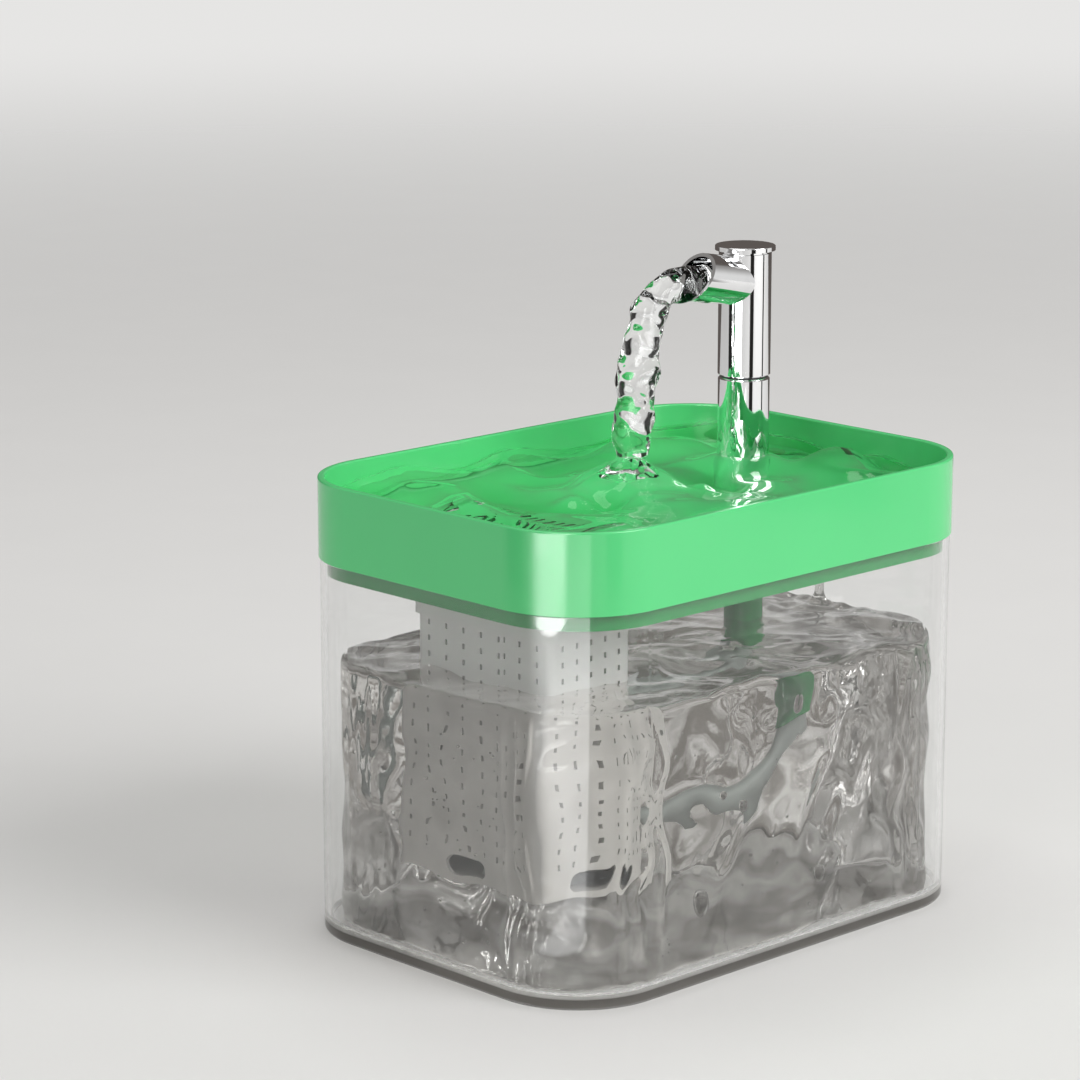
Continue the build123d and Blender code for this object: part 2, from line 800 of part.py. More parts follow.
def main():
    os.makedirs("parts", exist_ok=True)
    write("tank", make_tank())
    write("cable_grommet", make_grommet())
    write("tray", make_tray())
    write("riser_tube", make_riser())
    write("hose", make_hose())
    write("filter_box", make_filter_box())
    write("filter_cassette", make_cassette())
    write("filter_carbon", make_carbon())
    write("filter_cotton", make_cotton())
    write("strainer_cover", make_strainer_cover())
    write("pump_body", make_pump_body())
    write("pump_cover", make_pump_cover())
    write("pump_nozzle", make_pump_nozzle())
    write("pump_shaft", make_shaft())
    write("shaft_bushes", make_bushes())
    write("impeller", make_impeller())
    write("rotor_magnet", make_rotor_magnet())
    write("flow_slider", make_flow_slider())
    write("suction_cups", make_suction_cups())
    write("cable_gland", make_cable_gland())
    write("faucet_column", make_column())
    write("plug_seals", [seal_ring(plug_diameter, z) for z in plug_seal_heights()])
    write("neck_seal", seal_ring(neck_diameter, neck_seal_height()))
    write("swivel_ring", make_swivel_ring())
    write("faucet_head", make_head())
    write("faucet_spout", make_spout())
    write("faucet_cap", make_cap())


main()
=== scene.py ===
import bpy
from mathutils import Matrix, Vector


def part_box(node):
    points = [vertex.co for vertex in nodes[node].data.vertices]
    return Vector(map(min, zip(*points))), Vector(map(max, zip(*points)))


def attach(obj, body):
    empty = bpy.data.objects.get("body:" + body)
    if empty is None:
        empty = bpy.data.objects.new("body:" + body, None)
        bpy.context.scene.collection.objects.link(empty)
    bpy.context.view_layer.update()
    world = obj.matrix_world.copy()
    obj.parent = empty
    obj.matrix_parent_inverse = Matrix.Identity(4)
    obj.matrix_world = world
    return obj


bl_info = {
    "name": "Pet Fountain Looks",
    "version": (1, 0, 0),
    "blender": (4, 5, 0),
    "location": "3D View > Sidebar > Fountain",
    "description": "Finishes, running water and a studio for the packed pet fountain",
    "category": "Object",
}

import math
import random

import bmesh
import bpy
from bpy.props import FloatProperty, FloatVectorProperty, IntProperty, PointerProperty
from bpy.types import Operator, Panel, PropertyGroup
from mathutils import Vector, geometry, noise

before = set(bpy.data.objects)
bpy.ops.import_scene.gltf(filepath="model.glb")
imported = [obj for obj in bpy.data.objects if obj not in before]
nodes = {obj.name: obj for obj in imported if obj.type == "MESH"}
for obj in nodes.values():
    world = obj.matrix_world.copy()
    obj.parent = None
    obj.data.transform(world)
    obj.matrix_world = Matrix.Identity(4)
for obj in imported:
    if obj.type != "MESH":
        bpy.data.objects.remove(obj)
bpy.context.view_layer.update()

MM = 0.001
UP = Vector((0, 0, 1))
# Without a seed, noise_vector starts from the clock and the waves change each run
noise.seed_set(1795528302)

# Places that the water is worked out from
tank_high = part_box("tank")[1]
tray_low, tray_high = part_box("tray")
column_low, column_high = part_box("faucet_column")
spout_low, spout_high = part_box("faucet_spout")
cover_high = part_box("strainer_cover")[1]
column_axis = (column_low + column_high) / 2
column_radius = (column_high.x - column_low.x) / 2
BASE_THICKNESS = 4 * MM
# Height over which tints change
BLEND = 0.6 * MM
# A face looks one way when this much of its direction points there
FACING = 0.7
# Less than any face looks up
NO_CONTACT = -2.0
RETURN_HOLE = Vector((84, -2, 0)) * MM


# Settings

def length(name, description, default):
    """A size in metres, given here in millimetres."""
    return FloatProperty(name=name, description=description, default=default * MM,
                         unit="LENGTH", precision=4)


def maker(kind, **options):
    """A short way to write properties of one kind."""
    def make(name, description, default):
        return kind(name=name, description=description, default=default, **options)
    return make


colour = maker(FloatVectorProperty, size=3, min=0, max=1, subtype="COLOR")
position = maker(FloatVectorProperty, subtype="TRANSLATION", unit="LENGTH")
share = maker(FloatProperty, min=0, max=1, subtype="FACTOR")
number = maker(FloatProperty)
whole = maker(IntProperty)


class FinishSettings(PropertyGroup):
    green: colour("Green", "Moulded plastic of the drinking tray", (0.092, 0.58, 0.20))
    white: colour("White", "Satin plastic of the filter box", (0.72, 0.71, 0.69))
    chrome: colour("Chrome", "Plating of the faucet", (0.86, 0.865, 0.875))
    clear: colour("Clear", "Tint of the tank's plastic", (0.985, 0.99, 0.988))
    # Painted shade: the thick edge of the tank's floor is tinted dark, standing in for the
    # darkness seen in it
    base_edge_shade: colour("Base edge", "Tint of the thick edge of the tank's floor",
                      (0.07, 0.062, 0.056))
    dark: colour("Pump", "Moulded plastic of the pump", (0.022, 0.023, 0.026))
    rubber: colour("Rubber", "Seals, grommet and gland", (0.018, 0.018, 0.02))
    silicone: colour("Silicone", "Soft hose and suction cups", (0.80, 0.86, 0.84))
    cotton: colour("Cotton", "Matted filter fibre", (0.80, 0.79, 0.75))
    carbon: colour("Carbon", "Granules in the filter", (0.016, 0.016, 0.018))
    water: colour("Water", "Tint of the water", (0.985, 0.995, 0.99))
    # Painted shade: the tray's water is tinted darker green below its upper waves
    tray_shade_tint: colour("Low water", "Tint of the tray's water between its waves",
                      (0.28, 0.64, 0.40))
    # Painted shade: the tank's water is tinted darker and warmer than clear water, standing in
    # for darker surroundings seen through it
    tank_shade_tint: colour("Deep water", "Tint of the water in the tank", (0.84, 0.82, 0.795))
    # Painted shade: the darker green painted on green plastic below the tank's rim, where the
    # tray shades it
    shade: colour("Shade", "Green plastic under the tray", (0.018, 0.27, 0.07))
    gloss: share("Gloss roughness", "Roughness of the glossy plastic", 0.16)


class TankWaterSettings(PropertyGroup):
    level: length("Level", "Height of the water above the floor", 90.0)
    foot: length("Foot", "Height of the water's underside", 4.4)
    wall: length("Wall", "Thickness of the tank's wall", 2.0)
    gap: length("Gap", "Room between the water's sides and the wall", 4.2)
    corner: length("Corner", "Corner radius of the tank's outside", 31.4)
    edge: length("Edge", "Radius where the sides turn into the top", 2.2)
    bead: length("Bead", "Rise of the water along its top edge", 0.7)
    swell: length("Swell", "Height of the waves on the top", 1.7)
    crease: length("Crease", "Height of the sharp ripples on the top", 1.1)
    dimple: length("Dimple", "Depth of the dimples in the sides", 1.7)
    ridge: length("Ridge", "Height of the wavering ridges beside the corners", 1.9)
    step: length("Step", "Size of a face of the mesh", 1.4)
    bubbles: whole("Bubbles", "Small air bubbles", 150)


class TrayWaterSettings(PropertyGroup):
    level: length("Level", "Height of the water in the tray", 142.0)
    shelf: length("Shelf", "Height where the basin widens", 126.2)
    floor_gap: length("Floor gap", "Room over the tray's floor", 0.3)
    rim: length("Rim", "Thickness of the tray's band", 2.2)
    gap: length("Gap", "Room between the water and the band", 0.2)
    corner: length("Corner", "Corner radius of the band's outside", 31.9)
    step_in: length("Step in", "How far the lower basin is narrower", 2.7)
    mound: length("Mound", "Rise of the water round the stream's foot", 9.6)
    climb: length("Climb", "Rise of the water against the faucet", 3.2)
    swell: length("Swell", "Height of the broad waves", 4.4)
    crease: length("Crease", "Height of the waves' sharp crests", 2.2)
    ripple: length("Ripple", "Height of the rings that the stream makes", 0.4)
    step: length("Step", "Size of a face of the mesh", 1.1)


class StreamSettings(PropertyGroup):
    radius: length("Radius", "Half the thickness of the stream", 6.3)
    reach: length("Reach", "From the faucet's axis to the stream's foot", 52.2)
    inside: length("Inside", "How far the stream begins inside the spout", 7.0)
    foot: length("Foot", "Height of the stream's lower end", 143.5)
    clear: length("Clear", "Room between the turned stream and the tray's rim", 0.3)
    shoulder: length("Shoulder", "Drop from the mouth to where the stream turns down", 12.0)
    lump: share("Lumps", "How uneven the stream is", 0.12)
    twist: number("Twist", "Turns that its ridges make", 2.2)
    rings: whole("Rings", "Rings along the stream", 260)
    sides: whole("Sides", "Faces round the stream", 88)


class StageSettings(PropertyGroup):
    floor: colour("Floor", "Colour of the floor", (0.74, 0.73, 0.715))
    # Painted shade: dark blotches painted on the floor where it is seen through water
    through_water_shade: colour("Marble", "Dark parts of the floor that water's bent light finds",
                   (0.20, 0.18, 0.16))
    backdrop: colour("Backdrop", "Colour behind the floor", (0.79, 0.785, 0.775))
    ceiling: colour("Ceiling", "Colour overhead", (0.26, 0.25, 0.24))
    card: colour("Cards", "Colour of the dark cards that metal and glass reflect",
                 (0.02, 0.019, 0.018))
    fill: number("Fill", "Light from all round", 0.40)
    hood: colour("Hood", "Colour of the hood that level water reflects", (0.115, 0.10, 0.092))
    glow: number("Glow", "Strength of the panels that gloss reflects", 6.5)
    sparkle: number("Sparkle", "Strength of the window that wave crests reflect", 11.0)
    key: number("Key", "Softbox beside the long side, in watts", 40.0)
    window: number("Window", "Tall softbox beside the short side, in watts", 7.0)
    overhead: number("Overhead", "Softbox overhead, in watts", 14.0)
    lens: number("Lens", "Focal length in millimetres on a 36 mm sensor", 127.5)
    camera: position("Camera", "Where the camera stands", (-0.8573, -0.8435, 0.4005))
    target: position("Target", "What the camera looks at", (-0.03876, 0.00587, 0.12927))


# Shaders

class Socket:
    """A shader output that takes part in Python expressions through Math nodes."""

    def __init__(self, shader, output):
        self.shader = shader
        self.output = output

    def math(self, operation, *values):
        return self.shader.node("ShaderNodeMath", {"operation": operation},
                                dict(enumerate(values)))

    def __add__(self, other):
        return self.math("ADD", self, other)

    def __sub__(self, other):
        return self.math("SUBTRACT", self, other)

    def __rsub__(self, other):
        return self.math("SUBTRACT", other, self)

    def __mul__(self, other):
        return self.math("MULTIPLY", self, other)

    def __lt__(self, other):
        return self.math("LESS_THAN", self, other)

    def __gt__(self, other):
        return self.math("GREATER_THAN", self, other)

    def __abs__(self):
        return self.math("ABSOLUTE", self)

    def greatest(self, other):
        return self.math("MAXIMUM", self, other)

    __radd__ = __add__
    __rmul__ = __mul__


class Shader:
    """Writes the node tree of a material or a world."""

    def __init__(self, owner, output_kind):
        owner.use_nodes = True
        self.owner = owner
        self.tree = owner.node_tree
        self.tree.nodes.clear()
        self.output = self.tree.nodes.new(output_kind)

    def node(self, kind, settings=None, sockets=None, output=0):
        """Add a node: its settings first, then its sockets' values or links."""
        made = self.tree.nodes.new(kind)
        for name, value in (settings or {}).items():
            if name == "stops":
                self.set_stops(made.color_ramp, value)
            else:
                setattr(made, name, value)
        for name, value in (sockets or {}).items():
            if isinstance(value, Socket):
                self.tree.links.new(value.output, made.inputs[name])
            else:
                made.inputs[name].default_value = value
        return Socket(self, made.outputs[output])

    def set_stops(self, ramp, stops):
        while len(ramp.elements) < len(stops):
            ramp.elements.new(1.0)
        for element, (place, level) in zip(ramp.elements, stops):
            element.position = place
            element.color = (level, level, level, 1)

    def finish(self, surface):
        """Link the surface, and give back the material or world."""
        self.tree.links.new(surface.output, self.output.inputs["Surface"])
        return self.owner

    def place(self):
        """Where a point lies on its object, in metres."""
        return self.node("ShaderNodeTexCoord", output="Object")

    def part(self, vector, axis):
        return self.node("ShaderNodeSeparateXYZ", None, {"Vector": vector}, output=axis)

    def ray(self, question):
        """An answer about the light's path so far."""
        return self.node("ShaderNodeLightPath", output=question)

    def cloud(self, size, detail=2.0, stretch=(1, 1, 1)):
        """Noise whose spots are about this size in millimetres, from 0 to 1."""
        where = self.node("ShaderNodeMapping", None,
                          {"Vector": self.place(), "Scale": stretch})
        return self.node("ShaderNodeTexNoise", None,
                         {"Vector": where, "Scale": 1 / (size * MM), "Detail": detail,
                          "Roughness": 0.55})

    def cells(self, size):
        """Distance to scattered points this far apart in millimetres."""
        return self.node("ShaderNodeTexVoronoi", {"feature": "F1"},
                         {"Vector": self.place(), "Scale": 1 / (size * MM)})

    def smooth(self, value, low, high):
        """From 0 at low to 1 at high, with level ends."""
        return self.node("ShaderNodeMapRange", {"interpolation_type": "SMOOTHSTEP"},
                         {"Value": value, "From Min": low, "From Max": high})

    def above(self, height, blend=BLEND):
        """0 below a height of the object and 1 from a little over it."""
        return self.smooth(self.part(self.place(), "Z"), height, height + blend)

    def facing_up(self):
        """1 on faces that look up, 0 on upright ones and -1 on faces that look down."""
        normal = self.node("ShaderNodeNewGeometry", output="Normal")
        behind = self.node("ShaderNodeNewGeometry", output="Backfacing")
        return self.part(normal, "Z") * (1 - 2 * behind)

    def ramp(self, value, *stops):
        return self.node("ShaderNodeValToRGB", {"stops": stops}, {"Fac": value})

    def rise(self, value, low, high):
        """0 up to low and 1 from high on."""
        return self.ramp(value, (low, 0), (high, 1))

    def fall(self, value, low, high):
        """1 up to low and 0 from high on."""
        return self.ramp(value, (low, 1), (high, 0))

    def tint(self, factor, a, b):
        """Colour a where factor is 0 and colour b where it is 1."""
        ends = [end if isinstance(end, Socket) else (*end, 1) for end in (a, b)]
        return self.node("ShaderNodeMix", {"data_type": "RGBA"},
                         {0: factor, 6: ends[0], 7: ends[1]}, output=2)

    def bump(self, height, depth):
        """A normal from a height of 0 to 1 that stands for this many millimetres."""
        return self.node("ShaderNodeBump", None,
                         {"Height": height, "Distance": depth * MM, "Strength": 1.0})

    def principled(self, **sockets):
        names = {key.replace("_", " ").title().replace("Ior", "IOR"): value
                 for key, value in sockets.items()}
        return self.node("ShaderNodeBsdfPrincipled", None, names)

    def see_through(self, tint=(1, 1, 1)):
        return self.node("ShaderNodeBsdfTransparent", None, {"Color": (*tint, 1)})

    def mixed(self, factor, first, second):
        """The first surface where factor is 0 and the second where it is 1."""
        return self.node("ShaderNodeMixShader", None, {0: factor, 1: first, 2: second})

    def open_to_lamps(self, surface, tint):
        """Let light from the lamps through a clear surface instead of shading what it holds."""
        return self.mixed(self.ray("Is Shadow Ray"), surface, self.see_through(tint))


def material(name):
    return Shader(bpy.data.materials.new(name), "ShaderNodeOutputMaterial")


def scaled(rgb, factor):
    return tuple(min(1.0, channel * factor) for channel in rgb)


def dress(names, finish):
    """Give the CAD nodes with these names one finish."""
    for name in names:
        slots = nodes[name].data.materials
        slots.clear()
        slots.append(finish)


def moulded(name, rgb, roughness, grain, variation):
    """Moulded plastic: faint flow marks in its colour, and a fine grained skin."""
    shader = material(name)
    flow = shader.cloud(38, detail=3, stretch=(1, 1, 0.45))
    scuffs = shader.rise(shader.cloud(7, detail=4), 0.42, 0.75)
    return shader.finish(shader.principled(
        base_color=shader.tint(flow, scaled(rgb, 1 - variation), scaled(rgb, 1 + variation)),
        roughness=roughness + 0.09 * scuffs + 0.04 * (flow - 0.5),
        normal=shader.bump(shader.cloud(0.55), grain),
    ))


def green_plastic(finish):
    shader = material("green_plastic")
    flow = shader.cloud(45, detail=3, stretch=(1, 1, 0.5))
    haze = shader.rise(shader.cloud(9, detail=4), 0.4, 0.8)
    # Painted shade: below the tank's rim, faces that don't look up are coloured the darker shade
    # green, standing in for the shadow of the tray's band
    lit = shader.above(tank_high.z - BLEND).greatest(shader.facing_up())
    return shader.finish(shader.principled(
        base_color=shader.tint(lit * (0.9 + 0.1 * flow), finish.shade,
                               scaled(finish.green, 1.12)),
        roughness=finish.gloss + 0.07 * haze,
        normal=shader.bump(shader.cloud(0.5), 0.004),
        subsurface_weight=0.08,
        subsurface_radius=(0.4, 1.0, 0.5),
        subsurface_scale=1.2 * MM,
        coat_weight=0.2,
        coat_roughness=0.04,
    ))


def chrome_plate(finish):
    shader = material("chrome")
    smear = shader.rise(shader.cloud(6, detail=4, stretch=(1, 1, 0.5)), 0.45, 0.8)
    specks = shader.fall(shader.cells(2.6), 0.02, 0.06)
    return shader.finish(shader.principled(
        base_color=shader.tint(smear, finish.chrome, scaled(finish.chrome, 0.95)),
        metallic=1.0,
        roughness=0.025 + 0.05 * smear + 0.08 * specks,
        normal=shader.bump(shader.cloud(14, detail=1), 0.012),
    ))


def clear_plastic(finish):
    """Clear plastic, with painted shade: a dark tint round the thick edge of its floor."""
    shader = material("clear_tank")
    haze = shader.rise(shader.cloud(16, detail=4), 0.5, 0.85)
    scratches = shader.rise(shader.cloud(3.2, detail=3, stretch=(1, 1, 0.06)), 0.62, 0.7)
    face = shader.facing_up()
    # Painted shade: the upright edge of the thick floor takes the dark tint
    shaded_thick_edge = (1 - shader.above(BASE_THICKNESS - BLEND / 2)) * (1 - face * face)
    plain = shader.tint(haze, finish.clear, scaled(finish.clear, 0.985))
    glass = shader.principled(
        base_color=shader.tint(shaded_thick_edge, plain, finish.base_edge_shade),
        roughness=0.004 + 0.02 * haze + 0.03 * scratches,
        normal=shader.bump(shader.cloud(24, detail=1), 0.03),
        transmission_weight=1.0,
        ior=1.47,
    )
    surface = shader.open_to_lamps(glass, scaled(finish.clear, 0.83))
    # The underside rests on the floor and bends no light
    resting = (1 - shader.above(0.2 * MM)) * (face < -FACING)
    return shader.finish(shader.mixed(resting, surface, shader.see_through()))


def sharp_crests(shader):
    """1 on the crests of a surface and 0 in its hollows, in soft patches, to place the painted
    shade of the hollows.
    """
    crest = shader.rise(shader.node("ShaderNodeNewGeometry", output="Pointiness"), 0.46, 0.53)
    patches = shader.rise(shader.cloud(17, detail=1), 0.40, 0.60)
    return crest * (0.55 + 0.45 * patches)


def water_body(name, tint, deep=None, crest_mask=None, contact=NO_CONTACT):
    """Clear water, with painted shade: a darker tint away from its crests.

    Faces that look up less than contact touch plastic, and bend no light.
    """
    shader = material(name)
    froth = shader.fall(shader.cells(5.5), 0.015, 0.05)
    # Painted shade: away from its crests the water takes the darker tint
    body = shader.tint(crest_mask(shader), deep, tint) if crest_mask else tint
    glass = shader.principled(
        base_color=shader.tint(froth, body, (1, 1, 1)),
        roughness=0.12 * froth,
        normal=shader.bump(shader.cloud(5), 0.06),
        transmission_weight=1.0,
        ior=1.33,
    )
    surface = shader.open_to_lamps(glass, scaled(tint, 0.95))
    touching = shader.facing_up() < contact
    return shader.finish(shader.mixed(touching, surface, shader.see_through()))


def soft_silicone(finish):
    shader = material("clear_silicone")
    bloom = shader.cloud(5, detail=3)
    return shader.finish(shader.principled(
        base_color=shader.tint(bloom, finish.silicone, scaled(finish.silicone, 0.9)),
        roughness=0.28 + 0.12 * bloom,
        normal=shader.bump(shader.cloud(0.8), 0.01),
        transmission_weight=0.65,
        ior=1.41,
    ))


def cotton_fibre(finish):
    shader = material("filter_cotton")
    fibre = shader.cloud(0.9, detail=5, stretch=(1, 0.3, 1))
    tufts = shader.cloud(5, detail=3)
    return shader.finish(shader.principled(
        base_color=shader.tint(fibre, scaled(finish.cotton, 0.8), finish.cotton),
        roughness=0.9 + 0.08 * fibre,
        normal=shader.bump(fibre + 0.6 * tufts, 0.35),
        sheen_weight=0.3,
    ))


def carbon_grains(finish):
    shader = material("carbon")
    grain = shader.cells(1.6)
    return shader.finish(shader.principled(
        base_color=shader.tint(grain, scaled(finish.carbon, 2.2), scaled(finish.carbon, 0.6)),
        roughness=0.45 + 0.4 * grain,
        normal=shader.bump(1 - grain, 0.6),
    ))


def ground_steel():
    shader = material("steel_shaft")
    lines = shader.cloud(0.3, detail=3, stretch=(1, 0.08, 1))
    return shader.finish(shader.principled(
        base_color=shader.tint(lines, (0.52, 0.53, 0.55), (0.68, 0.68, 0.70)),
        metallic=1.0,
        roughness=0.18 + 0.14 * lines,
        normal=shader.bump(lines, 0.006),
    ))


def sintered_magnet():
    shader = material("magnet")
    pores = shader.rise(shader.cloud(0.5, detail=4), 0.35, 0.6)
    return shader.finish(shader.principled(
        base_color=shader.tint(pores, (0.035, 0.035, 0.04), (0.075, 0.073, 0.075)),
        metallic=0.35,
        roughness=0.5 + 0.2 * pores,
        normal=shader.bump(pores, 0.05),
    ))


# Meshes of water

def rounded_ring(half_x, half_y, radius, step):
    """Points and outward directions round a rounded rectangle, about a step apart."""
    ring = []
    turns = max(4, round(math.pi / 2 * radius / step))
    centres = [Vector((side_x * (half_x - radius), side_y * (half_y - radius)))
               for side_x, side_y in ((1, 1), (-1, 1), (-1, -1), (1, -1))]
    for quarter, centre in enumerate(centres):
        for i in range(turns + 1):
            angle = (quarter + i / turns) * math.pi / 2
            out = Vector((math.cos(angle), math.sin(angle)))
            ring.append((centre + radius * out, out))
        start = centre + radius * out
        end = centres[(quarter + 1) % 4] + radius * out
        count = max(1, round((end - start).length / step))
        ring += [(start.lerp(end, i / count), out.copy()) for i in range(1, count)]
    return ring


def skin(rings):
    """A mesh with faces through rings of points and a point at the middle of each end."""
    shape = bmesh.new()
    grid = [[shape.verts.new(point) for point in ring] for ring in rings]
    for lower, upper in zip(grid, grid[1:]):
        for i, vert in enumerate(lower):
            j = (i + 1) % len(lower)
            shape.faces.new((vert, lower[j], upper[j], upper[i]))
    for ring in (grid[0], grid[-1]):
        middle = shape.verts.new(sum((vert.co for vert in ring), Vector()) / len(ring))
        for i, vert in enumerate(ring):
            shape.faces.new((vert, ring[(i + 1) % len(ring)], middle))
    bmesh.ops.recalc_face_normals(shape, faces=shape.faces)
    return shape


def add_object(name, data):
    made = bpy.data.objects.new(name, data)
    bpy.context.scene.collection.objects.link(made)
    return made


def add_mesh(name, shape):
    mesh = bpy.data.meshes.new(name)
    shape.to_mesh(mesh)
    shape.free()
    return add_object(name, mesh)


def add_piece(name, shape):
    for face in shape.faces:
        face.smooth = True
    return add_mesh(name, shape)


def finish_water(piece, body, finish):
    piece.data.materials.append(finish)
    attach(piece, body)


def eased(value):
    """From 0 to 1 with level ends."""
    value = min(1.0, max(0.0, value))
    return value * value * (3 - 2 * value)


def bell(distance, width):
    """1 at no distance, and near 0 beyond twice the width."""
    return math.exp(-(distance / width) ** 2)


def waves(point, size, seed=0.0):
    """Smooth noise from about -1 to 1, with waves of this many millimetres."""
    return 1.6 * noise.noise(point / (size * MM) + Vector((seed, 0.37 * seed, -0.61 * seed)))


def crests(point, size, seed=0.0):
    """Noise from about -1 to 1 that rises to sharp, winding crests."""
    bent = point + 0.25 * size * MM * noise.noise_vector(point / (size * MM))
    return 1 - 2.2 * abs(waves(bent, size, seed))


def add_bubble(shape, centre, radius, stretch=1.0):
    """A cavity in the water: a ball whose faces look inward."""
    ball = bmesh.ops.create_icosphere(shape, subdivisions=2, radius=radius)
    for vert in ball["verts"]:
        vert.co.z *= stretch
        vert.co += centre
    faces = {face for vert in ball["verts"] for face in vert.link_faces}
    bmesh.ops.reverse_faces(shape, faces=list(faces))


# Large bubbles: place along the long side, height and radius, in millimetres, and stretch
LARGE_BUBBLES = (
    (12.4, 79.0, 2.1, 1.7),
    (-21.7, 55.6, 1.5, 1.1),
    (-12.5, 50.4, 1.7, 1.2),
    (-30.0, 22.0, 3.2, 1.5),
    (24.0, 20.0, 2.4, 1.3),
)
BUBBLE_SEED = 7


def add_bubbles(shape, settings, half_x, half_y):
    """A few large bubbles behind the long side, small ones near the sides and the return."""
    inset = 4 * MM
    for along, height, radius, stretch in LARGE_BUBBLES:
        centre = Vector((along * MM, -half_y + inset + radius * MM, height * MM))
        add_bubble(shape, centre, radius * MM, stretch)
    draw = random.Random(BUBBLE_SEED)
    for i in range(settings.bubbles):
        radius = draw.uniform(0.22, 0.62) * MM
        along = draw.uniform(-0.8, 0.8)
        deep = inset + draw.uniform(0, 3) * MM
        height = settings.foot + 5 * MM + (settings.level - 20 * MM) * draw.random() ** 1.6
        if i % 3 == 0:
            centre = Vector((-half_x + deep, along * half_y * 0.7, height))
        elif i % 3 == 1:
            centre = Vector((along * half_x, -half_y + deep, height))
        else:
            turn = draw.uniform(0, 2 * math.pi)
            spread = draw.uniform(1, 8) * MM
            way = Vector((-abs(math.cos(turn)), math.sin(turn), 0))
            centre = RETURN_HOLE - Vector((3 * MM, 0, 0)) + spread * way
            centre.z = settings.level - draw.uniform(5, 32) * MM
        add_bubble(shape, centre, radius)


# Hollows in the tank water's long and short side, in millimetres: place along it, height,
# half width, half height, lean across for each one up, and depth
HOLLOWS = {
    "long": (
        (-16, 38, 5, 11, 0.5, 2.6),
        (18, 44, 4.5, 12, 0.45, 2.4),
        (46, 46, 7, 12, 0.2, 2.2),
        (-44, 30, 8, 12, 0.2, 2.0),
        (0, 68, 13, 10, 0.0, 1.8),
        (-34, 62, 9, 9, 0.0, 2.0),
        (36, 72, 12, 9, 0.3, 1.6),
        (72, 62, 5, 9, 0.2, 1.4),
        (30, 18, 10, 6, 0.0, 1.6),
    ),
    "short": (
        (40, 62, 6, 10, 0.3, 2.2),
        (28, 44, 8, 8, 0.0, 2.4),
        (6, 70, 7, 7, 0.0, 1.8),
        (-4, 52, 7, 8, 0.2, 2.0),
        (22, 22, 9, 9, 0.0, 2.0),
        (-22, 34, 6, 9, 0.2, 1.8),
    ),
}

# Ridges beside the tank water's corners, in millimetres: place beside the corner's end, half
# width and length of the waves that sway it, and their seed
RIDGES = ((-3.5, 1.5, 17, 1.0), (1.2, 1.3, 13, 5.0), (6.0, 1.7, 21, 9.0))


